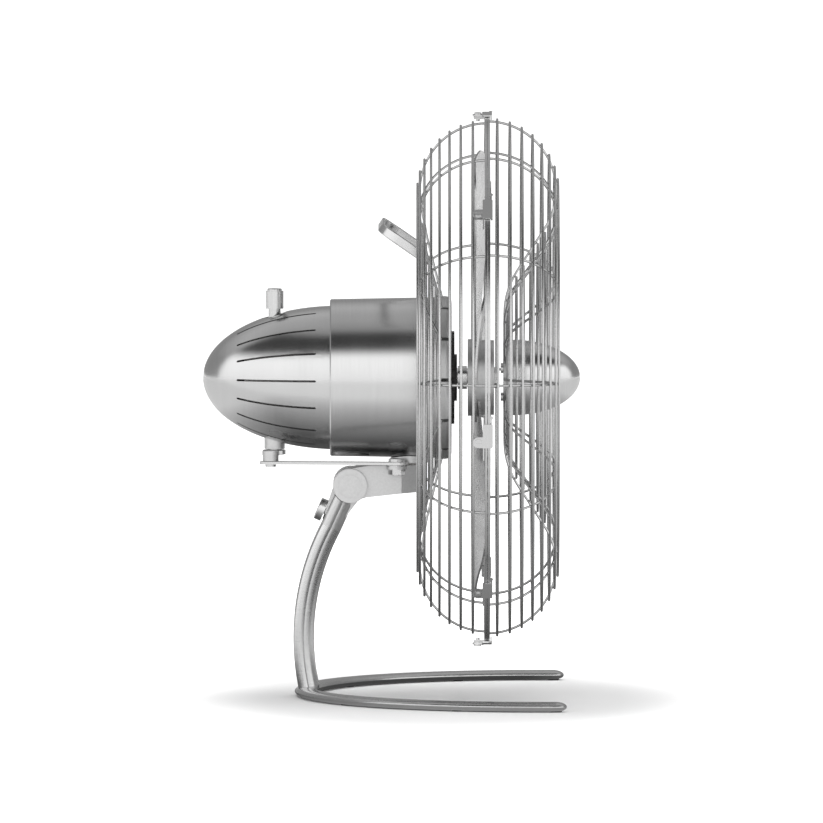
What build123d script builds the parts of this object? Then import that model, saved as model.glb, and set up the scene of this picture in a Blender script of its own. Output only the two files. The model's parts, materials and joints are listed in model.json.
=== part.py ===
from build123d import *
import math
import os

# Desk fan. Millimetres, +Z up, +X the way the air blows, floor at Z = 0, X and Y centred.

# ---- driving dimensions -------------------------------------------------
AXIS_Z = 199.4            # height of the motor axis
RIM_X = 59.4              # plane between the two rim rings
BARREL_R = 116.9          # radius at which the barrel arc of the grilles is centred
FRONT_ARC = 45.6          # barrel arc radius, to the outside of the rings
REAR_ARC = 44.4
RING_D = 1.6              # grille ring wire
RIB_D = 1.55              # grille rib wire
RIM_W = 1.68              # width of each flat rim ring
RIM_OUT = 165.75          # its outer radius
RIB_COUNT = 12
RIB_START = 1.35          # degrees, where the first rib stands
RING_STEP = 10.4          # degrees of barrel arc between rings
RING_FIRST_FRONT = 8.2
RING_FIRST_REAR = 11.7
RINGS_BARREL = 8
TOUCH = 0.02              # gap between pieces that bear on each other
RUN = 0.05                # radial clearance of a running fit
AIR = 0.35                # gap between pieces that move past each other

DRUM_X = (-38.7, 28.0)
DRUM_R = (49.0, 50.2)     # outer radius at the rear and at the front
WALL = 1.2
FACE_X = 37.3             # front face of the motor cover
COVER_R = 50.9
RECESS_X = 33.8           # floor of the cover's front recess
BOSS_R = 9.0              # threaded boss that the grille nut screws onto
SHELL_X = -33.7           # centre of the rear shell's ellipse
SHELL_A = 84.4            # its half length
SHELL_R = 44.9
SLOT_COUNT = 16
SLOT_X = (-96.8, -47.4)
SLOT_W = 1.3
SADDLE_R = 13.0           # foot of the bracket that carries the motor drum
SCREW_SPREAD = 10.6       # its two screws, either side of the post
KNOB_X = -73.3            # oscillation knob, crank shaft and output boss share this axis
PIVOT = (-26.0, 132.5)    # tilt pivot, X and Z
POST_X = 12.0             # oscillation post
LINK_B = (3.0, -19.5)     # link's fixed pivot, X and Y
CRANK_PIN = (-75.7, -12.0)  # crank pin at rest, X and Y
LINK_Z = (145.9, 147.6)   # underside and top of the link
ARM_TOP = 145.0

HUB_X = (47.4, 63.8)
HUB_R = 24.0
BLADE_COUNT = 5
BLADE_TIP = 141.0
BLADE_X = 55.4
BLADE_PITCH = 5.5
BLADE_BEND = 300.0        # radius the blade sheet is curved to
BLADE_T = 1.3
CAP_X = 76.0              # rear edge of the nose cap
CAP_A = 41.7
CAP_R = 23.6

BASE_R = 144.0            # centreline half width of the base
BASE_BACK = -53.8         # centreline of the base at the back
BASE_TIP = 101.5          # centre of the rounded leg ends
BAR_W = 14.0
BAR_H = 6.2
BAR_Z = 3.2               # height of the base bar's centre
NECK_W = 26.0
NECK_T = 13.0
STRAP_T = 6.8             # thickness of the neck's flat outer strap
CLIP_ANGLES = [84.0, 42.0, -9.4, -49.4, -82.0, 138.0, 189.4, 229.4]  # rim clips, 90 is the top
SHEET = 1.0               # thickness of the folded rim clips
HANDLE_LEAN = 34.6        # carry handle, degrees from level
WHEEL_AT = (-56.0, -10.6)  # worm wheel, X and Y


# ---- small helpers --------------------------------------------------------
def bar(axis, at, start, end, r, bore=0.0):
    """Round bar or tube along X, Y or Z; at gives its place on the other two axes."""
    mid, length = (start + end) / 2, end - start
    body = Cylinder(r, length)
    if bore:
        body -= Cylinder(bore, length + 2)
    if axis == "X":
        return Pos(mid, at[0], at[1]) * Rot(0, 90, 0) * body
    if axis == "Y":
        return Pos(at[0], mid, at[1]) * Rot(90, 0, 0) * body
    return Pos(at[0], at[1], mid) * body


def motor_bar(start, end, r, bore=0.0):
    """Round bar or tube on the motor axis."""
    return bar("X", (0, AXIS_Z), start, end, r, bore)


def spun(points):
    """Solid of revolution about the motor axis, from (x, radius) points."""
    face = make_face(Polyline([(x, 0, AXIS_Z + r) for x, r in points], close=True))
    return revolve(face, Axis((0, 0, AXIS_Z), (1, 0, 0)), 360)


def about_motor(shape, angle):
    """Turn a shape about the motor axis; 90 degrees is straight up, 0 is towards -Y."""
    return Pos(0, 0, AXIS_Z) * Rot(90 - angle, 0, 0) * Pos(0, 0, -AXIS_Z) * shape


def block(x, y, z):
    """Box from ranges."""
    size = [b - a for a, b in (x, y, z)]
    mid = [(a + b) / 2 for a, b in (x, y, z)]
    return Pos(*mid) * Box(*size)


def ring(x, r, wire):
    return Pos(x, 0, AXIS_Z) * Rot(0, 90, 0) * Torus(r, wire / 2)


def save(name, *solids):
    shape = solids[0] if len(solids) == 1 else Compound(children=list(solids))
    export_step(shape, f"parts/{name}.step")


def flat(shape):
    """All the solids of a shape, as a list."""
    return list(shape.solids())


# ---- grilles --------------------------------------------------------------
def barrel_point(side, radius, degrees):
    """Point on the barrel arc; side +1 is the front, degrees count from the rim."""
    a = math.radians(degrees)
    return RIM_X + side * radius * math.sin(a), BARREL_R + radius * math.cos(a)


def barrel_rings(side, arc, first):
    radius = arc - RING_D / 2
    rings = []
    for i in range(RINGS_BARREL):
        x, r = barrel_point(side, radius, first + i * RING_STEP)
        rings.append(ring(x, r, RING_D))
    return rings


RIB_OFFSET = RING_D / 2 + RIB_D / 2 + TOUCH
DISH_PITCH = 8.2
DISH_LEAN = 33.0          # front dish, degrees from the rim plane
DISH_FLAT_X = 70.4        # where the front dish runs flat
DISH_BEND = 50.0
REAR_LEAN = 10.0
REAR_KINK = (21.9, 87.6)
REAR_NOTCH = (30.9, 51.0)
PLATE_R = 28.2


def rib_radius(arc):
    return arc - RING_D / 2 - RIB_OFFSET


def rib_wire(points_after, side, arc, last):
    """A rib from the rim, round the barrel and on to the given points, each with its corner radius."""
    start, middle, end = [barrel_point(side, rib_radius(arc), a) for a in (0.05, last / 2, last)]
    at = lambda p: (p[0], 0, AXIS_Z + p[1])
    edges = [ThreePointArc(at(start), at(middle), at(end))]
    edges.append(FilletPolyline([at(end)] + [at(p) for p, _ in points_after],
                                radius=[r for _, r in points_after[:-1]]))
    return edges


def swept_rib(edges):
    path = Wire(list(e for w in edges for e in w.edges()))
    plane = Plane(origin=path @ 0, z_dir=path % 0)
    return sweep(plane * Circle(RIB_D / 2), path=path, transition=Transition.ROUND)


def front_rib():
    lean = math.radians(DISH_LEAN)
    end_x, end_r = barrel_point(1, rib_radius(FRONT_ARC), 90 + DISH_LEAN)
    corner_r = end_r - (end_x - DISH_FLAT_X) / math.tan(lean)
    points = [((DISH_FLAT_X, corner_r), DISH_BEND), ((DISH_FLAT_X, 19.6), 0)]
    return swept_rib(rib_wire(points, 1, FRONT_ARC, 90 + DISH_LEAN)), corner_r


def rear_rib():
    points = [(REAR_KINK, 60.0), ((33.0, 43.0), 6.0), ((RECESS_X + RIB_D / 2 + TOUCH, 40.0), 6.0),
              ((RECESS_X + RIB_D / 2 + TOUCH, PLATE_R + TOUCH), 0)]
    return swept_rib(rib_wire(points, -1, REAR_ARC, 90 + REAR_LEAN))


def all_round(shape, count, start):
    return [about_motor(shape, start + i * 360 / count) for i in range(count)]


def front_dish_rings(corner_r):
    """Rings on the front of the dish, a pitch apart along the leaning stretch and the flat."""
    lean = math.radians(DISH_LEAN)
    x, r = barrel_point(1, FRONT_ARC - RING_D / 2, 90 + DISH_LEAN)
    rings = []
    for i in range(4):
        s = 2.5 + i * DISH_PITCH
        rings.append(ring(x - s * math.sin(lean), r - s * math.cos(lean), RING_D))
    tangent = DISH_BEND * math.tan(lean / 2)
    low = corner_r - tangent
    inner = DISH_BEND - RIB_OFFSET
    for i in range(4):
        a = lean * (0.86 - i * 0.28)
        rings.append(ring(DISH_FLAT_X + DISH_BEND - inner * math.cos(a), low + inner * math.sin(a), RING_D))
    return rings


def rear_dish_rings():
    """Rings behind the rear dish's ribs."""
    rings = []
    slope = (REAR_NOTCH[0] - REAR_KINK[0]) / (REAR_KINK[1] - REAR_NOTCH[1])
    for i in range(4):
        r = REAR_KINK[1] - 4.0 - i * DISH_PITCH
        x = REAR_KINK[0] + slope * (REAR_KINK[1] - r)
        rings.append(ring(x - RIB_OFFSET * 1.04, r, RING_D))
    top_x, top_r = barrel_point(-1, rib_radius(REAR_ARC), 90 + REAR_LEAN)
    for t in (0.25, 0.62):
        x = top_x + (REAR_KINK[0] - top_x) * t
        r = top_r + (REAR_KINK[1] - top_r) * t
        rings.append(ring(x - RIB_OFFSET * 1.03, r, RING_D))
    return rings


def rim_ring(side, arc):
    """Flat ring standing on the ends of the ribs."""
    inner = BARREL_R + rib_radius(arc) + RIB_D / 2 + TOUCH
    near, far = sorted((RIM_X + side * 0.03, RIM_X + side * (0.03 + RIM_W)))
    body = motor_bar(near, far, RIM_OUT, inner)
    return fillet(body.edges(), 0.35)


LUG_X = 53.6              # clip screw, along the motor axis
LUG_Y = -4.0              # and sideways from the middle of the clip
CLIP_HALF = 7.5


def rim_clip():
    """Folded clip over both rim rings at the top of the fan: a lug at one end, a finger and a tail."""
    low = AXIS_Z + RIM_OUT + 0.12
    high = low + SHEET
    body = block((56.3, 62.5), (-CLIP_HALF, CLIP_HALF), (low, high))
    body = fillet(body.edges().filter_by(Axis.Z), 1.0)
    body += block((61.4, 62.5), (-6, 6), (low - 3.2, high - 0.1))
    body += block((LUG_X, 56.4), (LUG_Y - 3.4, LUG_Y + 3.4), (low, high))
    body += bar("Z", (LUG_X, LUG_Y), low, high, 3.4)
    body += block((56.4, 57.2), (-CLIP_HALF - 8, -CLIP_HALF + 1), (low, low + 0.8))
    body += block((61.3, 62.1), (CLIP_HALF - 1, CLIP_HALF + 4), (low, low + 0.8))
    body += Pos(61.7, CLIP_HALF + 4, low + 0.4) * Rot(0, 0, 45) * Box(1.7, 1.7, 0.8)
    return body - bar("Z", (LUG_X, LUG_Y), low - 1, high + 1, 1.35)


def clip_tab():
    """Tab on the rear rim ring that a clip's screw goes into."""
    top = AXIS_Z + RIM_OUT
    tab = block((LUG_X - 2.6, RIM_X - RIM_W + 0.2), (LUG_Y - 2.6, LUG_Y + 2.6), (top - 1.6, top - 0.2))
    return tab - bar("Z", (LUG_X, LUG_Y), top - 5, top + 5, 1.3)


def clip_screw():
    top = AXIS_Z + RIM_OUT + 1.14
    shank = bar("Z", (LUG_X, LUG_Y), top - 4.2, top + 0.1, 1.25)
    head = bar("Z", (LUG_X, LUG_Y), top, top + 1.0, 2.3)
    slot = block((LUG_X - 3, LUG_X + 3), (LUG_Y - 0.3, LUG_Y + 0.3), (top + 0.5, top + 3))
    return shank + head - slot


def grilles():
    front, corner_r = front_rib()
    save("front_grille_ribs", *all_round(front, RIB_COUNT, RIB_START))
    save("rear_grille_ribs", *all_round(rear_rib(), RIB_COUNT, RIB_START))
    save("front_grille_rings", *barrel_rings(1, FRONT_ARC, RING_FIRST_FRONT), *front_dish_rings(corner_r))
    save("rear_grille_rings", *barrel_rings(-1, REAR_ARC, RING_FIRST_REAR), *rear_dish_rings())
    save("front_rim_ring", rim_ring(1, FRONT_ARC))
    rear_rim = rim_ring(-1, REAR_ARC)
    for angle in CLIP_ANGLES:
        rear_rim += about_motor(clip_tab(), angle)
    save("rear_rim_ring", rear_rim)
    save("rim_clips", *[about_motor(rim_clip(), a) for a in CLIP_ANGLES])
    save("clip_screws", *[about_motor(clip_screw(), a) for a in CLIP_ANGLES])
    save("grille_plate", motor_bar(RECESS_X + TOUCH, RECESS_X + 1.6, PLATE_R, BOSS_R + RUN))
    nut = motor_bar(RECESS_X + 1.62, 39.1, 29.0) + motor_bar(39.0, 40.7, 14.6)
    nut -= motor_bar(30, 42, BOSS_R + RUN)
    for i in range(24):
        nut -= about_motor(bar("X", (0, AXIS_Z + 29.9), 30, 42, 1.9), i * 15)
    save("grille_nut", nut)


def carry_handle():
    """Flat strip handle, a U in plan, leaning up and back from the rear grille."""
    half, thick, width = 47.5, 2.0, 6.0
    path = FilletPolyline([(0, -half, 0), (-31, -half, 0), (-31, half, 0), (0, half, 0)], radius=12)
    section = Plane(origin=path @ 0, z_dir=path % 0) * RectangleRounded(width, thick, 0.9)
    strip = sweep(section, path=path)
    return Pos(19.2, 0, 277.3) * Rot(0, HANDLE_LEAN, 0) * strip


def nose():
    x = CAP_X
    outer = Pos(x, 0, AXIS_Z) * scale(Sphere(1), by=(CAP_A, CAP_R, CAP_R))
    inner = Pos(x, 0, AXIS_Z) * scale(Sphere(1), by=(CAP_A - 1.3, CAP_R - 1.3, CAP_R - 1.3))
    cap = outer - inner - block((x - 60, x), (-40, 40), (AXIS_Z - 40, AXIS_Z + 40))
    save("nose_cap", *flat(cap))
    plate = motor_bar(x - 2.6, x - TOUCH, CAP_R) - motor_bar(x - 1.4, x, CAP_R - 1.2)
    plate += motor_bar(DISH_FLAT_X - 0.8, x - 2.0, 19.5)
    bolt_ring = [about_motor(bar("X", (0, AXIS_Z + 12), x - 7, x + 4, 1.5), a) for a in (30, 150, 270)]
    for b in bolt_ring:
        plate -= b
    save("nose_plate", plate)
    screws = []
    for a in (30, 150, 270):
        shank = bar("X", (0, AXIS_Z + 12), DISH_FLAT_X - 0.9, x + 3, 1.45)
        head = bar("X", (0, AXIS_Z + 12), DISH_FLAT_X - 2.4, DISH_FLAT_X - 0.85, 2.6)
        screws.append(about_motor(shank + head, a))
    save("nose_screws", *screws)


# ---- motor head -----------------------------------------------------------
def rear_shell():
    def half(a, r):
        return Pos(SHELL_X, 0, AXIS_Z) * scale(Sphere(1), by=(a, r, r))
    shell = half(SHELL_A, SHELL_R) - half(SHELL_A - 1.5, SHELL_R - 1.5)
    shell -= block((SHELL_X, 100), (-60, 60), (AXIS_Z - 60, AXIS_Z + 60))
    shell = flat(shell)[0]
    middle, length = sum(SLOT_X) / 2, SLOT_X[1] - SLOT_X[0]
    cutter = Pos(middle, 0, AXIS_Z + 10) * extrude(SlotOverall(length, SLOT_W), 50)
    for i in range(SLOT_COUNT):
        shell -= about_motor(cutter, i * 360 / SLOT_COUNT)
    well = bar("Z", (KNOB_X, 0), AXIS_Z + 25, AXIS_Z + 60, 8.0)
    shell += half(SHELL_A - 0.4, SHELL_R - 0.4) & bar("Z", (KNOB_X, 0), AXIS_Z + 20, AXIS_Z + 60, 10.0)
    shell += half(SHELL_A - 0.4, SHELL_R - 0.4) & bar("Z", (KNOB_X, 0), AXIS_Z - 60, AXIS_Z - 20, 10.0)
    shell -= half(SHELL_A - 5.5, SHELL_R - 5.5)
    shell -= well & (half(SHELL_A + 5, SHELL_R + 5) - half(SHELL_A - 3.5, SHELL_R - 3.5))
    shell -= bar("Z", (KNOB_X, 0), AXIS_Z + 20, AXIS_Z + 60, 4.3)
    shell -= bar("Z", (KNOB_X, 0), AXIS_Z - 60, AXIS_Z - 20, 6.5 + RUN)
    return shell


def drum():
    x0, x1 = DRUM_X
    r0, r1 = DRUM_R
    body = spun([(x0, SHELL_R + TOUCH), (x0, r0 - 0.8), (x0 + 0.8, r0), (x1, r1), (x1, r1 - WALL),
                 (x0 + 1.6, r0 - WALL), (x0 + 1.6, SHELL_R + TOUCH)])
    return body - bar("Z", (POST_X, 0), AXIS_Z - 60, AXIS_Z - 30, 9.0)


def front_cover():
    x0 = DRUM_X[1] + TOUCH
    body = motor_bar(x0, FACE_X, COVER_R)
    body = fillet(body.edges().filter_by(GeomType.CIRCLE).group_by(Axis.X)[-1], 4.0)
    body -= motor_bar(RECESS_X, FACE_X + 1, 45.6)
    body -= motor_bar(x0 - 1, RECESS_X - 2.0, 47.5)
    body += motor_bar(RECESS_X - 1, FACE_X + 1.2, BOSS_R)
    body -= motor_bar(x0 - 1, FACE_X + 5, 6.5)
    notch = block((REAR_NOTCH[0] - 1.3, 50), (-1.1, 1.1), (AXIS_Z + 38, AXIS_Z + 60))
    for i in range(RIB_COUNT):
        body -= about_motor(notch, RIB_START + i * 360 / RIB_COUNT)
    return body


def motor_inside():
    core = motor_bar(-14, 18, 38.0, 22.4)
    for i in range(4):
        core -= about_motor(bar("X", (0, AXIS_Z + 35), -20, 25, 2.2), 45 + i * 90)
    for i in range(12):
        core -= about_motor(block((-20, 25), (-1.3, 1.3), (AXIS_Z + 20, AXIS_Z + 32)), 15 + i * 30)
    save("stator_core", core)
    winding = [motor_bar(-23, -14.1, 32, 23.5), motor_bar(18.1, 27, 32, 23.5)]
    for w in range(2):
        winding[w] = fillet(winding[w].edges(), 2.0)
    save("stator_windings", *winding)
    bolts = []
    for i in range(4):
        shank = bar("X", (0, AXIS_Z + 35), -32, 31.7, 2.0)
        head = bar("X", (0, AXIS_Z + 35), -35, -31.9, 3.6)
        bolts.append(about_motor(shank + head, 45 + i * 90))
    save("motor_bolts", *bolts)
    bell = motor_bar(-31.8, -28.6, 46.5) + motor_bar(-31.8, -22.5, 11.0)
    bell -= motor_bar(-40, -20, 4.4)
    bell -= motor_bar(-28.5, -22.4, 8.0)
    for i in range(4):
        bell -= about_motor(bar("X", (0, AXIS_Z + 35), -36, -20, 2.05), 45 + i * 90)
        bell -= about_motor(bar("X", (0, AXIS_Z + 25), -36, -20, 6.0), i * 90)
    save("end_bell", bell)
    save("bearings", motor_bar(-28.4, -23.4, 7.95, 4.0 + RUN), motor_bar(31.0, 36.0, 6.45, 4.0 + RUN))
    save("run_capacitor", fillet(block((-10, 16), (-12, 12), (AXIS_Z + 39.2, AXIS_Z + 45.5)).edges(), 1.0))


def gearbox():
    z = AXIS_Z
    case = block((-92, -34), (-19.5, 15), (z - 18, z + 18)) - block((-90, -36), (-17.5, 13), (z - 16, z + 16))
    case += bar("Z", (KNOB_X, 0), z + 17.5, z + 30, 6.0)
    case += bar("Z", (KNOB_X, 0), z - 44.6, z - 17.5, 6.4)
    case -= bar("Z", (KNOB_X, 0), z - 60, z + 60, 3.0 + RUN)
    case -= motor_bar(-40, -30, 6.0)
    case -= block((-91.99, -34.01), (15 - 2.01, 16), (z - 17.99, z + 17.99))
    return case


def saddle():
    """Bracket between the drum and the oscillation post; its tube reaches up inside the drum."""
    body = bar("Z", (POST_X, 0), ARM_TOP + 1.6, 158.2, 8.6)
    foot = bar("Z", (POST_X, 0), ARM_TOP + 1.6, 156, SADDLE_R) - motor_bar(-60, 60, DRUM_R[1] + TOUCH)
    body += foot
    return body - bar("Z", (POST_X, 0), 100, 200, 4.0 + RUN)


def head():
    save("rear_shell", rear_shell())
    save("motor_drum", drum())
    save("front_cover", front_cover())
    motor_inside()
    save("gearbox_case", *flat(gearbox()))
    lid = block((-91.9, -34.1), (13.05, 15), (AXIS_Z - 17.9, AXIS_Z + 17.9))
    save("gearbox_lid", lid)
    save("pivot_saddle", *flat(saddle()))
    save("saddle_screws", *[bar("Z", (POST_X + s * SCREW_SPREAD, 0), 151.0, 153.0, 1.5) for s in (-1, 1)])
    save("carry_handle", carry_handle())


# ---- rotor ----------------------------------------------------------------
def blade():
    """Blade pointing up: a rounded outline on a shallow curved sheet, set at its pitch."""
    wide = 26.0
    outline = make_face(Polyline((-10, 20), (-45, 100), (-37, BLADE_TIP), (37, BLADE_TIP), (44, 106),
                                 (10, 20), close=True))
    outline = fillet(outline.vertices().group_by(Axis.Y)[-1], 27.0)
    outline = fillet(outline.vertices().sort_by(Axis.X)[0], 30.0)
    tool = Pos(BLADE_X - wide, 0, AXIS_Z) * extrude(Plane.YZ * outline, 2 * wide)
    far_y = 62.0
    sag = far_y * far_y / (2 * BLADE_BEND)
    front = ThreePointArc((sag, -far_y), (0, 0), (sag, far_y))
    back = ThreePointArc((sag - BLADE_T, -far_y), (-BLADE_T, 0), (sag - BLADE_T, far_y))
    ends = [Line(front @ i, back @ i) for i in (0, 1)]
    section = make_face(Curve(children=[front, back, *ends]))
    sheet = Pos(BLADE_X - sag / 4, 0, AXIS_Z - 10) * Rot(0, 0, -BLADE_PITCH) * extrude(section, 170)
    body = tool & sheet
    body -= motor_bar(0, 120, HUB_R + TOUCH)
    return max(flat(body), key=lambda s: s.volume)


def rotor():
    save("rotor_shaft", motor_bar(-50, HUB_X[1] - 2.0, 4.0))
    save("rotor_core", motor_bar(-13, 17, 21.9, 4.02))
    save("worm", motor_bar(-62, -50.02, 3.6))
    save("shaft_collar", motor_bar(41.2, 46.9, 7.2, 4.02))
    hub = motor_bar(HUB_X[0], HUB_X[0] + 4.5, HUB_R) + motor_bar(HUB_X[0] + 4, HUB_X[1], HUB_R - 0.6)
    hub = hub - motor_bar(HUB_X[0] + 6.5, HUB_X[1] + 1, HUB_R - 2.6)
    hub += motor_bar(HUB_X[0] + 2, HUB_X[1] - 3, 8.0)
    hub -= motor_bar(40, 70, 4.02)
    save("blade_hub", hub)
    turned = [about_motor(blade(), 84 + i * 360 / BLADE_COUNT) for i in range(BLADE_COUNT)]
    save("blades", *turned)
    save("hub_nut", *flat(extrude(Plane(origin=(HUB_X[1] - 2.96, 0, AXIS_Z), z_dir=(1, 0, 0))
                                  * RegularPolygon(6.5, 6), 5) - motor_bar(40, HUB_X[1] - 1.9, 4.02)))


def worm_wheel():
    """Wheel beside the worm, turning about a vertical pin."""
    return bar("Z", WHEEL_AT, AXIS_Z - 3, AXIS_Z + 3, 6.6, 1.5 + RUN)


# ---- oscillation ----------------------------------------------------------
def oscillation():
    z = AXIS_Z
    knob = bar("Z", (KNOB_X, 0), 242.6, 253.6, 5.7) + bar("Z", (KNOB_X, 0), 253.5, 255.1, 4.6)
    knob = fillet(knob.edges().filter_by(GeomType.CIRCLE).group_by(Axis.Z)[-1], 0.6)
    knob += bar("Z", (KNOB_X, 0), 234.0, 243.0, 3.85)
    knob += bar("Z", (KNOB_X, 0), 205.0, 234.1, 3.0)
    save("oscillation_knob", knob)
    boss_low = z - 44.6
    save("crank_shaft", bar("Z", (KNOB_X, 0), boss_low - 0.6, z - 2.0, 3.0))
    disc = bar("Z", (KNOB_X, 0), boss_low - 3.4, boss_low - 0.62, 6.9)
    disc += bar("Z", CRANK_PIN, boss_low - 3.4, boss_low - 0.62, 5.3)
    disc += block((CRANK_PIN[0] - 5, KNOB_X + 5), (CRANK_PIN[1], 0), (boss_low - 3.4, boss_low - 0.62))
    save("crank_disc", disc)
    pin_low = LINK_Z[1] + AIR
    save("crank_pin", bar("Z", CRANK_PIN, pin_low, boss_low - 3.42, 5.0))
    save("link_bar", link_bar())
    save("link_rivet", bar("Z", CRANK_PIN, LINK_Z[0] - 1.6, LINK_Z[0] - TOUCH, 3.4)
         + bar("Z", CRANK_PIN, LINK_Z[0] - 1, LINK_Z[1], 2.0))
    save("link_bush", bar("Z", LINK_B, LINK_Z[0], LINK_Z[1], 3.4, 2.5 + RUN))


def link_bar():
    """Flat bar from the crank pin to the arm."""
    px, py = CRANK_PIN
    bx, by = LINK_B
    angle = math.degrees(math.atan2(by - py, bx - px))
    length = math.hypot(bx - px, by - py)
    profile = Pos(length / 2, 0) * SlotOverall(length + 14, 10)
    profile -= Circle(2.0 + TOUCH)
    profile -= Pos(length, 0) * Circle(3.4 + TOUCH)
    body = extrude(profile, LINK_Z[1] - LINK_Z[0])
    return Pos(px, py, LINK_Z[0]) * Rot(0, 0, angle) * body


# ---- arm, neck and base -----------------------------------------------------
def tilt_arm():
    px, pz = PIVOT
    outline = Polyline((px, pz - 10.6), (px + 10, pz - 7.4), (7, 127.6), (22, 128.4), (22, ARM_TOP),
                       (px + 12, ARM_TOP), (px, pz + 10.6), close=True)
    side = extrude(Plane.XZ * make_face(outline), 14, both=True)
    body = side + bar("Y", (px, pz), -16.5, 16.5, 10.8)
    body = body - block((px - 20, px + 11.6), (-6.3, 6.3), (pz - 20, pz + 20))
    body -= bar("Y", (px, pz), -6.3, 6.3, 11.6)
    plan = make_hull((Pos(-15, 0) * Rectangle(42, 28)).edges() + (Pos(POST_X, 0) * Circle(9.5)).edges())
    body &= extrude(Pos(0, 0, 100) * plan, 80) + block((px - 20, px + 10), (-20, 20), (100, 180))
    tab = bar("Z", LINK_B, ARM_TOP - 1.8, ARM_TOP, 6.5)
    tab += block((LINK_B[0] - 6.5, LINK_B[0] + 6.5), (LINK_B[1], -12), (ARM_TOP - 1.8, ARM_TOP))
    body += tab
    body -= bar("Z", LINK_B, 130, 150, 2.5 + TOUCH)
    body -= bar("Y", (px, pz), -30, 30, 3.0 + RUN)
    body -= bar("Z", (POST_X, 0), 120, 150, 4.0 + TOUCH)
    return body


def arm_parts():
    save("tilt_arm", tilt_arm())
    save("oscillation_post", bar("Z", (POST_X, 0), 128.4, 160.6, 4.0))
    save("post_circlip", bar("Z", (POST_X, 0), 158.5, 159.8, 6.8, 4.02))
    save("thrust_washer", bar("Z", (POST_X, 0), ARM_TOP + TOUCH, ARM_TOP + 1.25, 8.4, 4.06))
    bolt = bar("Z", LINK_B, 139.4, LINK_Z[1] + 0.3, 2.5) + bar("Z", LINK_B, LINK_Z[1] + 0.3, 149.7, 5.2)
    save("link_bolt", bolt)
    nut = extrude(Pos(LINK_B[0], LINK_B[1], 139.9) * RegularPolygon(5.3, 6), 3.2)
    save("link_nut", *flat(nut - bar("Z", LINK_B, 130, 150, 2.52)))
    save("link_washer", bar("Z", LINK_B, ARM_TOP + TOUCH, LINK_Z[0] - 0.2, 5.6, 2.55))


NECK_FOOT = (-51.8, 6.0)
NECK_MID = (-54.6, 50.0)
NECK_SEAM = (-38.1, 105.8)
SWITCH_TILT = 24.0
SWITCH_FACE = (-46.4, 117.9)


def neck_path():
    at = lambda p: (p[0], 0, p[1])
    return ThreePointArc(at(NECK_FOOT), at(NECK_MID), at(NECK_SEAM))


def neck_section(path, where):
    """A flat outer strap with a narrower rounded back; local +Y is the outside of the bend."""
    plane = Plane(origin=path @ where, x_dir=(0, 1, 0), z_dir=path % where)
    strap = Pos(0, NECK_T / 2 - STRAP_T / 2) * RectangleRounded(NECK_W, STRAP_T, STRAP_T / 2 - 0.4)
    back = Ellipse(NECK_W / 2 - 2.2, NECK_T / 2) - Pos(0, NECK_T) * Rectangle(2 * NECK_W, 2 * NECK_T)
    return plane * (strap + back)


def neck_tube():
    path = neck_path()
    tube = sweep(neck_section(path, 0), path=path)
    stub = extrude(neck_section(path, 0), 6, dir=(0.05, 0, -1))
    body = tube + stub
    body -= block((-90, 0), (-40, 40), (-20, BAR_Z + 0.6))
    for side in (-1, 1):
        body -= bar("Z", (BASE_BACK + 1.5, side * 7), 0, 17, 2.05)
    return body


def switch_place(distance):
    """Point on the speed switch's axis, measured inward from the knob's face."""
    a = math.radians(SWITCH_TILT)
    return SWITCH_FACE[0] + distance * math.cos(a), SWITCH_FACE[1] - distance * math.sin(a)


def switch_bar(start, end, r, bore=0.0):
    x, z = switch_place((start + end) / 2)
    body = Cylinder(r, end - start)
    if bore:
        body -= Cylinder(bore, end - start + 2)
    return Pos(x, 0, z) * Rot(0, 90 + SWITCH_TILT, 0) * body


def neck_head():
    """Upper casting: carries on from the tube, holds the speed switch and ends in the knuckle."""
    path = neck_path()
    start, way = path @ 1, path % 1
    px, pz = PIVOT
    section = neck_section(path, 1)
    body = extrude(section, 30, dir=(px - start.X, 0, pz - start.Z))
    body &= bar("Y", (px, pz), -40, 40, 32.0)
    body -= bar("Y", (px, pz), -40, 40, 11.3)
    body -= block((px, 60), (-40, 40), (60, 200))
    body = max(flat(body), key=lambda s: s.volume)
    web = Polyline((px - 9.5, pz + 2), (px + 8, pz - 6), (start.X + 6.5, start.Z + 3),
                   (start.X - 4, start.Z + 9), close=True)
    web = extrude(Plane.XZ * make_face(web), 5.6, both=True)
    knuckle = bar("Y", (px, pz), -5.6, 5.6, 10.4)
    body = body + web + knuckle
    body -= bar("Y", (px, pz), -40, 40, 3.0 + RUN)
    body -= switch_bar(-2, 13.5, 5.0 + RUN)
    body -= switch_bar(-4, 5.0, 7.4)
    trim = Plane(origin=(start.X, 0, start.Z), z_dir=(way.X, way.Y, way.Z))
    body -= trim * Pos(0, 0, -20 + TOUCH) * Box(80, 80, 40)
    return body


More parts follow.
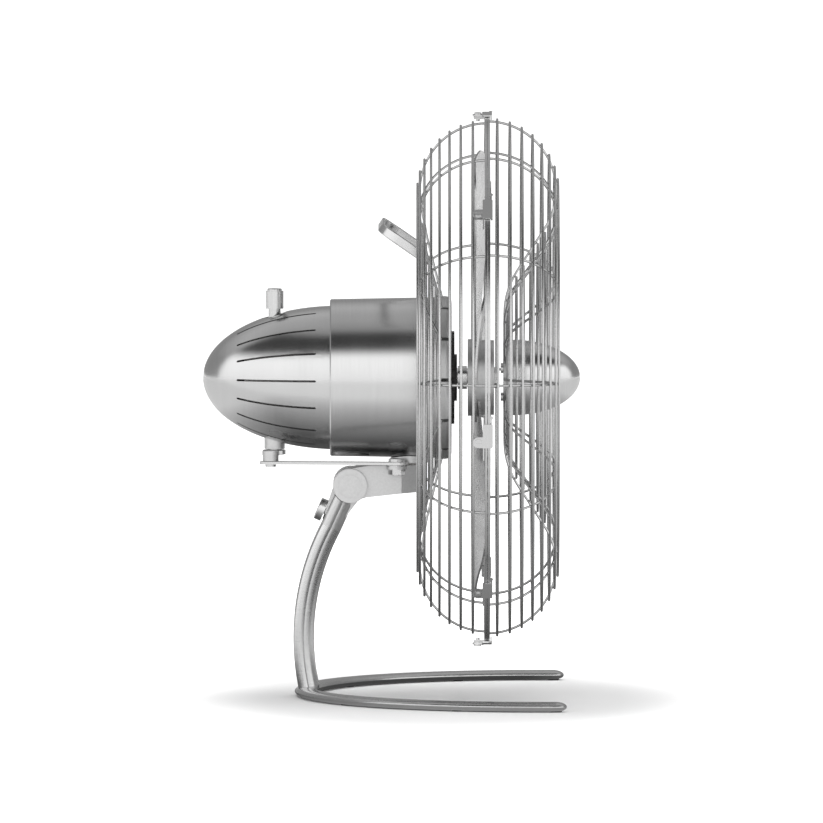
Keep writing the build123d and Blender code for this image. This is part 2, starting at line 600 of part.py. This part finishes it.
def base_parts():
    half = Plane(origin=(BASE_TIP, -BASE_R, BAR_Z), z_dir=(-1, 0, 0), x_dir=(0, 1, 0))
    bend_x = BASE_BACK + BASE_R
    path = Line((BASE_TIP, -BASE_R, BAR_Z), (bend_x, -BASE_R, BAR_Z)) + ThreePointArc(
        (bend_x, -BASE_R, BAR_Z), (BASE_BACK, 0, BAR_Z), (bend_x, BASE_R, BAR_Z))
    path += Line((bend_x, BASE_R, BAR_Z), (BASE_TIP, BASE_R, BAR_Z))
    body = sweep(half * Ellipse(BAR_W / 2, BAR_H / 2), path=Wire(path.edges()))
    for side in (-1, 1):
        end = Ellipse(BAR_W / 2, BAR_H / 2) & Pos(BAR_W, 0) * Rectangle(2 * BAR_W, 2 * BAR_W)
        end = revolve(Plane.XZ * end, Axis.Z, 360)
        body += Pos(BASE_TIP, side * BASE_R, BAR_Z) * end
    seat = path_seat()
    body -= seat
    spots = [(BASE_TIP, -BASE_R), (BASE_TIP, BASE_R)]
    for a in (110, 145, 215, 250):
        t = math.radians(a)
        spots.append((bend_x + BASE_R * math.cos(t), BASE_R * math.sin(t)))
    pads = []
    for spot in spots:
        body -= bar("Z", spot, -2, 1.7, 4.0)
        pads.append(fillet(bar("Z", spot, 0, 1.68, 3.95).edges().group_by(Axis.Z)[0], 0.3))
    screws = []
    for side in (-1, 1):
        at = (BASE_BACK + 1.5, side * 7)
        body -= bar("Z", at, -2, 20, 2.1) + bar("Z", at, -2, 2.9, 3.8)
        screws.append(bar("Z", at, 2.4, 16, 2.0) + bar("Z", at, 0.9, 2.8, 3.6))
    save("base_bar", *flat(body))
    save("foot_pads", *pads)
    save("neck_screws", *screws)


def path_seat():
    """Flat on the back of the base bar where the neck stands."""
    return block((-66, -38), (-NECK_W / 2 - 1, NECK_W / 2 + 1), (BAR_Z + 0.6 - TOUCH, 20))


def pivot_bar(side, near, far, r, bore=0.0):
    """Round bar on the tilt pivot, on one side of the fan, between two distances from its middle."""
    return bar("Y", PIVOT, *sorted((side * near, side * far)), r, bore)


def neck_parts():
    px, pz = PIVOT
    save("neck_tube", *flat(neck_tube()))
    save("neck_head", *flat(neck_head()))
    save("pivot_pin", bar("Y", (px, pz), -17.4, 17.4, 3.0))
    caps = []
    for side in (-1, 1):
        cap = pivot_bar(side, 16.8, 18.0, 10.4)
        groove = pivot_bar(side, 17.6, 19.0, 7.6, 6.9)
        hole = pivot_bar(side, 16.0, 17.42, 3.02)
        caps.append(cap - groove - hole)
    save("pivot_caps", *caps)
    save("pivot_washers", *[pivot_bar(side, 5.63, 6.22, 9.0, 3.06) for side in (-1, 1)])
    save("speed_switch", switch_bar(5.4, 13.4, 5.0) + switch_bar(1.4, 5.5, 2.0))
    knob = switch_bar(0, 4.6, 6.95)
    knob = fillet(knob.edges().filter_by(GeomType.CIRCLE).sort_by(Axis.X)[0], 0.7)
    knob -= switch_bar(1.3, 6, 2.0 + RUN)
    mark = Pos(SWITCH_FACE[0], 0, SWITCH_FACE[1]) * Rot(0, 90 + SWITCH_TILT, 0) * Pos(4.8, 0, 0)
    knob -= mark * Box(5, 1.0, 1.2)
    save("speed_knob", knob)


os.makedirs("parts", exist_ok=True)
grilles()
nose()
head()
rotor()
save("worm_wheel", worm_wheel())
save("wheel_pin", bar("Z", WHEEL_AT, AXIS_Z - 15.9, AXIS_Z + 15.9, 1.5))
oscillation()
arm_parts()
neck_parts()
base_parts()
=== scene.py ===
import bpy
import json
import math
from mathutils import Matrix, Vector

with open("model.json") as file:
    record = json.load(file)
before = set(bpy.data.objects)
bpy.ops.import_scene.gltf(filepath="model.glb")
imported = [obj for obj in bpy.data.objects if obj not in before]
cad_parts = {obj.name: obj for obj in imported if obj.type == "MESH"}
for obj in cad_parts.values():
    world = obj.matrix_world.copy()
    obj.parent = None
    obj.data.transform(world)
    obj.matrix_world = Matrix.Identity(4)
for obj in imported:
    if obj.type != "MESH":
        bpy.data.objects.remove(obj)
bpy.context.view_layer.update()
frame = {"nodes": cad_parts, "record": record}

nodes = frame["nodes"]

# ---- camera, metres ---------------------------------------------------------
VIEW_WIDTH = 0.5144        # width of the view at the fan
VIEW_CENTRE = Vector((0.01225, 0.0, 0.1781))
ELEVATION = 3.3
LENS = 1000.0
SENSOR = 36.0

# ---- studio: light levels against the sine of the elevation, and the floor -----
BANDS = [(-1.0, 0.8), (0.0, 1.25), (0.55, 1.45), (0.72, 0.04), (0.93, 0.05), (0.985, 0.42)]
BACK = [(-1.0, 0.2), (0.0, 0.34), (0.45, 0.32), (0.8, 0.62), (0.97, 0.50)]
BLEND = 0.12                # half width of the change from front to back light
FLOOR_SIZE = 60.0
FLOOR_GLOW_AND_PAINTED_SHADOW = (0.02, 0.80)   # under the fan, where the low glow is a painted shadow, and away from it
SHADE_CENTRE = (0.033, -0.03)
SHADE_HALF = (0.195, 0.33)  # reach of the weaker glow under the fan, the painted shadow, along X and Y
SHADE_FADE = (0.55, 1.2)    # where it fades, as a share of that reach
# glowing card seen only in reflections: a painted reflection, dark under the fan as painted shade
REFLECTION_CARD_SIZE, REFLECTION_CARD_Z = 8.0, 0.0006
REFLECTION_CARD_FRONT = (-0.42, 0.02, 1.0, 0.09)   # painted reflection levels: from and to along Y, and the level at each
REFLECTION_CARD_SIDE = (0.06, 0.30, 0.0, 0.85)     # the same for the distance from the middle along X
TOP_LIGHT_AT = (0.0, 0.4, 2.6)
TOP_LIGHT_SIZE = (3.0, 2.0)
TOP_LIGHT_POWER = 62.0


def add_camera():
    distance = VIEW_WIDTH * LENS / SENSOR
    data = bpy.data.cameras.new("camera")
    data.lens, data.sensor_width = LENS, SENSOR
    data.clip_start, data.clip_end = 1.0, 100.0
    cam = bpy.data.objects.new("camera", data)
    up = math.radians(ELEVATION)
    cam.location = VIEW_CENTRE + distance * Vector((0, -math.cos(up), math.sin(up)))
    cam.rotation_euler = (math.radians(90) - up, 0, 0)
    bpy.context.scene.collection.objects.link(cam)
    bpy.context.scene.camera = cam


# ---- node helpers ----------------------------------------------------------
NOISE_MIDDLE = (0.3, 0.7)   # where most of a noise's values lie


class Tree:
    """A material's or world's nodes, with short ways to add and join them."""

    def __init__(self, owner):
        owner.use_nodes = True
        self.nodes, self.links = owner.node_tree.nodes, owner.node_tree.links

    def add(self, kind, **inputs):
        node = self.nodes.new(kind)
        for name, value in inputs.items():
            self.put(node, name, value)
        return node

    def put(self, node, name, value):
        key = int(name[1:]) if name[0] == "i" and name[1:].isdigit() else name.replace("_", " ")
        if isinstance(value, bpy.types.NodeSocket):
            self.links.new(value, node.inputs[key])
        else:
            node.inputs[key].default_value = value

    def math(self, operation, a, b=0.0):
        node = self.add("ShaderNodeMath", i0=a, i1=b)
        node.operation = operation
        return node.outputs[0]

    def noise(self, vector, scale, detail=2.0, rough=0.5):
        node = self.add("ShaderNodeTexNoise", Vector=vector, Scale=scale, Detail=detail, Roughness=rough)
        return node.outputs["Fac"]

    def remap(self, value, start, end, low, high, kind="LINEAR"):
        """Map start..end to low..high."""
        node = self.add("ShaderNodeMapRange", Value=value, From_Min=start, From_Max=end,
                        To_Min=low, To_Max=high)
        node.interpolation_type = kind
        return node.outputs[0]

    def spread(self, value, low, high):
        """Map the middle of a noise to low..high."""
        return self.remap(value, *NOISE_MIDDLE, low, high)

    def tint(self, value, dark, light):
        ramp = self.add("ShaderNodeValToRGB", Fac=value)
        for element, at, colour in zip(ramp.color_ramp.elements, NOISE_MIDDLE, (dark, light)):
            element.position, element.color = at, (*colour, 1)
        return ramp.outputs[0]


def material(name, metallic=1.0):
    mat = bpy.data.materials.new(name)
    tree = Tree(mat)
    shader = tree.nodes["Principled BSDF"]
    shader.inputs["Metallic"].default_value = metallic
    return mat, tree, shader


def grey(value, warm=0.0):
    return (value + warm, value, value - warm)


def place(tree):
    """The piece's own coordinates in metres, and x, y, z apart."""
    coords = tree.add("ShaderNodeTexCoord").outputs["Object"]
    parts = tree.add("ShaderNodeSeparateXYZ", Vector=coords)
    return coords, parts.outputs


def stretched(tree, scale):
    coords, _ = place(tree)
    mapping = tree.add("ShaderNodeMapping", Vector=coords)
    mapping.inputs["Scale"].default_value = scale
    return mapping.outputs[0]


def finish(tree, shader, shade, relief, colours, rough, bump):
    """Colour and roughness from one noise and bump from another; bump is its strength and depth."""
    tree.put(shader, "Base Color", tree.tint(shade, *colours))
    tree.put(shader, "Roughness", tree.spread(shade, *rough))
    node = tree.add("ShaderNodeBump", Height=relief, Strength=bump[0], Distance=bump[1])
    tree.put(shader, "Normal", node.outputs[0])


def finish_metal(tree, shader, grain, blotch, levels, rough, bump):
    """A grey metal with a fine grain and a broad blotch."""
    mixed = tree.math("ADD", tree.math("MULTIPLY", grain, 0.6), tree.math("MULTIPLY", blotch, 0.4))
    finish(tree, shader, mixed, grain, [grey(level) for level in levels], rough, bump)


def turned_steel(name, colour=(0.58, 0.66), rough=(0.17, 0.24), bump=(0.12, 0.00002)):
    """Satin steel brushed on a lathe: fine scratches run round the motor axis."""
    mat, tree, shader = material(name)
    grain = tree.noise(stretched(tree, (5200, 26, 26)), 1.0, 3.0, 0.5)
    blotch = tree.noise(stretched(tree, (40, 22, 22)), 1.0, 3.0)
    finish_metal(tree, shader, grain, blotch, colour, rough, bump)
    shader.inputs["Anisotropic"].default_value = 0.1
    tangent = tree.add("ShaderNodeTangent")
    tangent.direction_type, tangent.axis = "RADIAL", "X"
    tree.put(shader, "Tangent", tangent.outputs[0])
    return mat


def brushed_steel(name, scale, colour=(0.50, 0.62), rough=(0.26, 0.36), bump=(0.2, 0.00004)):
    """Satin steel with straight or wandering brush lines; scale is lines per metre along X, Y and Z."""
    mat, tree, shader = material(name)
    grain = tree.noise(stretched(tree, scale), 1.0, 4.0, 0.6)
    blotch = tree.noise(stretched(tree, (30, 30, 30)), 1.0, 3.0)
    finish_metal(tree, shader, grain, blotch, colour, rough, bump)
    return mat


def plain(name, scale, detail, colours, rough, strength):
    """Paint, rubber or moulded plastic with a fine even grain."""
    mat, tree, shader = material(name, 0.0)
    grain = tree.noise(stretched(tree, (scale, scale, scale)), 1.0, detail)
    finish(tree, shader, grain, grain, colours, rough, (strength, 0.00005))
    return mat


def moulded(name, dark, light, rough):
    return plain(name, 900, 4.0, (dark, light), (rough - 0.06, rough + 0.06), 0.3)


def copper_winding(name):
    mat, tree, shader = material(name)
    grain = tree.noise(stretched(tree, (1500, 60, 60)), 1.0, 2.0)
    finish(tree, shader, grain, grain, ((0.25, 0.09, 0.03), (0.62, 0.28, 0.12)), (0.3, 0.5), (0.5, 0.0003))
    return mat


def laminations(name):
    return brushed_steel(name, (4000, 12, 12), (0.14, 0.24), (0.45, 0.6), (0.5, 0.0001))


# ---- studio ----------------------------------------------------------------
def ramp_of(tree, value, stops):
    node = tree.add("ShaderNodeValToRGB", Fac=value)
    ramp = node.color_ramp
    while len(ramp.elements) < len(stops):
        ramp.elements.new(0.5)
    for element, (at, level) in zip(ramp.elements, stops):
        element.position = (at + 1) / 2
        element.color = (*grey(level), 1)
    return node.outputs[0]


def add_world():
    """Soft light bands: bright in front of the fan, a dark gap above it, mid grey overhead and behind."""
    world = bpy.data.worlds.new("studio")
    bpy.context.scene.world = world
    tree = Tree(world)
    direction = tree.add("ShaderNodeTexCoord").outputs["Generated"]
    parts = tree.add("ShaderNodeSeparateXYZ", Vector=direction)
    height = tree.remap(parts.outputs[2], -1.0, 1.0, 0.0, 1.0)
    front, back = ramp_of(tree, height, BANDS), ramp_of(tree, height, BACK)
    side = tree.remap(parts.outputs[1], -BLEND, BLEND, 0.0, 1.0, "SMOOTHSTEP")
    mix = tree.add("ShaderNodeMixRGB", Fac=side, Color1=front, Color2=back)
    tree.put(tree.nodes["Background"], "Color", mix.outputs[0])
    tree.nodes["Background"].inputs["Strength"].default_value = 1.0


def add_plane(name, size, z):
    mesh = bpy.data.meshes.new(name)
    s = size / 2
    mesh.from_pydata([(-s, -s, z), (s, -s, z), (s, s, z), (-s, s, z)], [], [(0, 1, 2, 3)])
    plane = bpy.data.objects.new(name, mesh)
    bpy.context.scene.collection.objects.link(plane)
    return plane


def add_floor():
    """Pale floor that glows, so that it stays white, and glows less in a soft ellipse under the fan as a
    painted shadow.
    """
    floor = add_plane("floor", FLOOR_SIZE, 0.0)
    mat, tree, shader = material("studio_floor", 0.0)
    grain = tree.noise(stretched(tree, (3, 3, 3)), 1.0, 2.0)
    tree.put(shader, "Base Color", tree.tint(grain, grey(0.78), grey(0.80)))
    shader.inputs["Roughness"].default_value = 0.9
    shader.inputs["Specular IOR Level"].default_value = 0.0
    shader.inputs["Emission Color"].default_value = (1, 1, 1, 1)
    # painted shadow: the glow fades to its low level in an ellipse under the fan
    _, parts = place(tree)
    along = [tree.math("POWER", tree.math("DIVIDE", tree.math("SUBTRACT", part, centre), half), 2.0)
             for part, centre, half in zip(parts, SHADE_CENTRE, SHADE_HALF)]
    reach = tree.math("SQRT", tree.math("ADD", *along))
    tree.put(shader, "Emission Strength", tree.remap(reach, *SHADE_FADE, *FLOOR_GLOW_AND_PAINTED_SHADOW, "SMOOTHSTEP"))
    floor.data.materials.append(mat)


def add_reflection_card():
    """Glowing card that only reflections see, a painted reflection: dark under the fan as painted shade,
    brighter in front and to both sides.
    """
    reflection_card = add_plane("reflection_card", REFLECTION_CARD_SIZE, REFLECTION_CARD_Z)
    reflection_card.visible_camera = reflection_card.visible_diffuse = reflection_card.visible_shadow = False
    reflection_card.visible_transmission = reflection_card.visible_volume_scatter = False
    mat = bpy.data.materials.new("reflection_card")
    tree = Tree(mat)
    _, parts = place(tree)
    # painted reflection: its glow is low under the fan and rises in front and to both sides
    ahead = tree.remap(parts[1], *REFLECTION_CARD_FRONT)
    aside = tree.remap(tree.math("ABSOLUTE", parts[0]), *REFLECTION_CARD_SIDE)
    glow = tree.add("ShaderNodeEmission", Strength=tree.math("MAXIMUM", ahead, aside))
    tree.put(tree.nodes["Material Output"], "Surface", glow.outputs[0])
    tree.nodes.remove(tree.nodes["Principled BSDF"])
    reflection_card.data.materials.append(mat)


def add_area(name, place_at, target, size, power):
    data = bpy.data.lights.new(name, "AREA")
    data.shape, data.size, data.size_y = "RECTANGLE", size[0], size[1]
    data.energy = power
    light = bpy.data.objects.new(name, data)
    light.location = place_at
    aim = Vector(target) - Vector(place_at)
    light.rotation_euler = aim.to_track_quat("-Z", "Y").to_euler()
    bpy.context.scene.collection.objects.link(light)
    return light


def add_studio():
    add_world()
    add_floor()
    add_reflection_card()
    top = add_area("top_light", TOP_LIGHT_AT, (0, 0, 0), TOP_LIGHT_SIZE, TOP_LIGHT_POWER)
    top.visible_glossy = False
    scene = bpy.context.scene
    scene.view_settings.view_transform = "Standard"
    scene.view_settings.look = "None"


# ---- materials for the CAD nodes -------------------------------------------
def dress():
    turned = turned_steel("turned_steel")
    wire = brushed_steel("drawn_wire", (300, 300, 300), (0.50, 0.60), (0.20, 0.27), (0.06, 0.00002))
    bar = brushed_steel("brushed_bar", (160, 160, 1400), (0.56, 0.68), (0.20, 0.28), (0.1, 0.00003))
    cast = brushed_steel("satin_cast", (700, 700, 700), (0.55, 0.68), (0.34, 0.46), (0.3, 0.00008))
    screw = brushed_steel("bright_screw", (1200, 1200, 1200), (0.55, 0.68), (0.14, 0.24))
    nut = plain("black_nut", 1800, 3.0, (grey(0.018), grey(0.03)), (0.32, 0.46), 0.25)
    rubber = moulded("rubber", grey(0.012), grey(0.03), 0.75)
    nylon = moulded("nylon", grey(0.60, 0.02), grey(0.70, 0.02), 0.45)
    plastic = moulded("switch_plastic", grey(0.02), grey(0.035), 0.4)
    slots = {"brushed_steel": turned, "bright_wire": wire, "cast_metal": cast, "dark_nut": nut,
             "bright_screw": screw, "rubber": rubber, "nylon": nylon, "switch_plastic": plastic,
             "lamination": laminations("laminations"), "copper": copper_winding("copper_winding")}
    sheet = brushed_steel("blade_sheet", (60, 420, 420), (0.50, 0.60), (0.24, 0.32), (0.06, 0.00002))
    # painted shade: the base bar gets a darker copy of the neck's brushed steel, for the shade near the
    # floor
    shaded_base = brushed_steel("base_shaded_steel", (160, 160, 1400), (0.48, 0.58), (0.18, 0.26), (0.1, 0.00003))
    own = {"base_bar": shaded_base, "neck_tube": bar, "blades": sheet}
    for part in frame["record"]["subparts"]:
        name = part["node"]
        mesh = nodes[name].data
        mesh.materials.clear()
        mesh.materials.append(own.get(name, slots[part["material_slot"]]))


add_camera()
add_studio()
dress()
